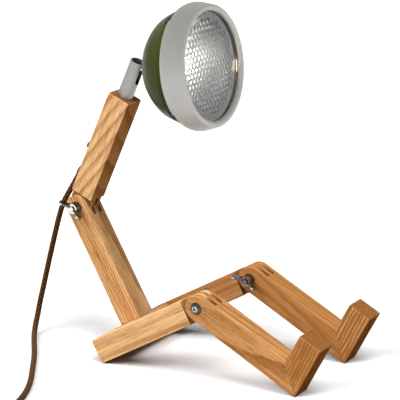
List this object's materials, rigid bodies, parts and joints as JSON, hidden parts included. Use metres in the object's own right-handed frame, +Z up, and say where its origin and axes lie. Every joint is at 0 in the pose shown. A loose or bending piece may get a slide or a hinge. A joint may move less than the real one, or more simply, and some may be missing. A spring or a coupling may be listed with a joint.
{
  "type": "jointed figure desk lamp",
  "caption": "Desk lamp shaped like a sitting figure: square wooden bars on wing-nut finger hinges, a swivelling headlamp as its head, a push switch and a textile cord.",
  "frame": {"origin": "on the table, under the middle of the lamp without its cord", "axes": "+X the way the figure faces, +Y to its left, +Z up"},
  "size_m": [0.3159, 0.3663, 0.3134],
  "materials": {
    "ash_wood": "oiled satin",
    "plated_steel": "zinc plated",
    "olive_enamel": "gloss enamel",
    "satin_nickel": "satin nickel",
    "lens_glass": "pressed glass",
    "black_rubber": "matte",
    "bright_aluminium": "bright",
    "heat_sink_aluminium": "turned",
    "white_board": "white mask",
    "amber_emitter": "silicone",
    "black_plastic": "matte",
    "lead_sleeve": "sleeve",
    "brown_textile": "braided",
    "plug_brass": "plated"
  },
  "bodies": {
    "seat": {"right_thigh": "ash_wood", "left_thigh": "ash_wood", "seat_crossbar": "ash_wood", "lower_post": "ash_wood", "seat_dowels": "ash_wood", "post_screw": "plated_steel", "torso_bolt": "plated_steel", "torso_washer": "plated_steel", "cord": "brown_textile", "cord_tail": "brown_textile", "cord_coil": "brown_textile", "plug_body": "black_plastic", "plug_pins": "plug_brass"},
    "torso_nut": {"torso_wing_nut": "plated_steel"},
    "right_leg": {"right_shin": "ash_wood", "right_foot": "ash_wood", "right_mitre_dowels": "ash_wood", "right_knee_bolt": "plated_steel", "right_knee_washer": "plated_steel"},
    "right_knee_nut": {"right_knee_wing_nut": "plated_steel"},
    "left_leg": {"left_shin": "ash_wood", "left_foot": "ash_wood", "left_mitre_dowels": "ash_wood", "left_knee_bolt": "plated_steel", "left_knee_washer": "plated_steel"},
    "left_knee_nut": {"left_knee_wing_nut": "plated_steel"},
    "torso": {"upper_post": "ash_wood", "switch_body": "black_plastic", "switch_collar": "plated_steel", "cord_strain_relief": "black_rubber", "inner_lead": "lead_sleeve"},
    "button": {"switch_button": "black_plastic"},
    "neck": {"neck_tube": "plated_steel", "tilt_pin": "plated_steel"},
    "head": {"tilt_bracket": "plated_steel", "stud_nut": "plated_steel", "headlamp_shell": "olive_enamel", "bezel_ring": "satin_nickel", "bezel_clips": "plated_steel", "lens_gasket": "black_rubber", "lens": "lens_glass", "reflector": "bright_aluminium", "heat_sink": "heat_sink_aluminium", "led_board": "white_board", "led_emitter": "amber_emitter"}
  },
  "joints": [
    {"name": "torso_hinge", "type": "hinge", "parent": "seat", "child": "torso", "pos_m": [-0.1266, 0, 0.12385], "axis": [0, 1, 0], "range_deg": [-148, 40], "deforming": ["cord"]},
    {"name": "torso_nut_turn", "type": "hinge", "parent": "seat", "child": "torso_nut", "pos_m": [-0.1266, 0, 0.12385], "axis": [0, 1, 0], "continuous": true},
    {"name": "neck_swivel", "type": "hinge", "parent": "torso", "child": "neck", "pos_m": [-0.0794, 0, 0.22652], "axis": [0.4177, 0, 0.9086], "range_deg": [-90, 90]},
    {"name": "head_tilt", "type": "hinge", "parent": "neck", "child": "head", "pos_m": [-0.06791, 0, 0.25151], "axis": [0, 1, 0], "range_deg": [-40, 40]},
    {"name": "switch_press", "type": "slide", "parent": "torso", "child": "button", "axis": [0.9086, 0, -0.4177], "range_m": [0, 0.0015], "stiffness_N_per_m": 1500},
    {"name": "right_knee", "type": "hinge", "parent": "seat", "child": "right_leg", "pos_m": [0.02153, -0.047, 0.06394], "axis": [0, 1, 0], "range_deg": [-152, 37]},
    {"name": "right_knee_nut_turn", "type": "hinge", "parent": "right_leg", "child": "right_knee_nut", "pos_m": [0.02153, -0.047, 0.06394], "axis": [0, 1, 0], "continuous": true},
    {"name": "left_knee", "type": "hinge", "parent": "seat", "child": "left_leg", "pos_m": [0.02153, 0.047, 0.06394], "axis": [0, 1, 0], "range_deg": [-152, 37]},
    {"name": "left_knee_nut_turn", "type": "hinge", "parent": "left_leg", "child": "left_knee_nut", "pos_m": [0.02153, 0.047, 0.06394], "axis": [0, 1, 0], "continuous": true}
  ]
}
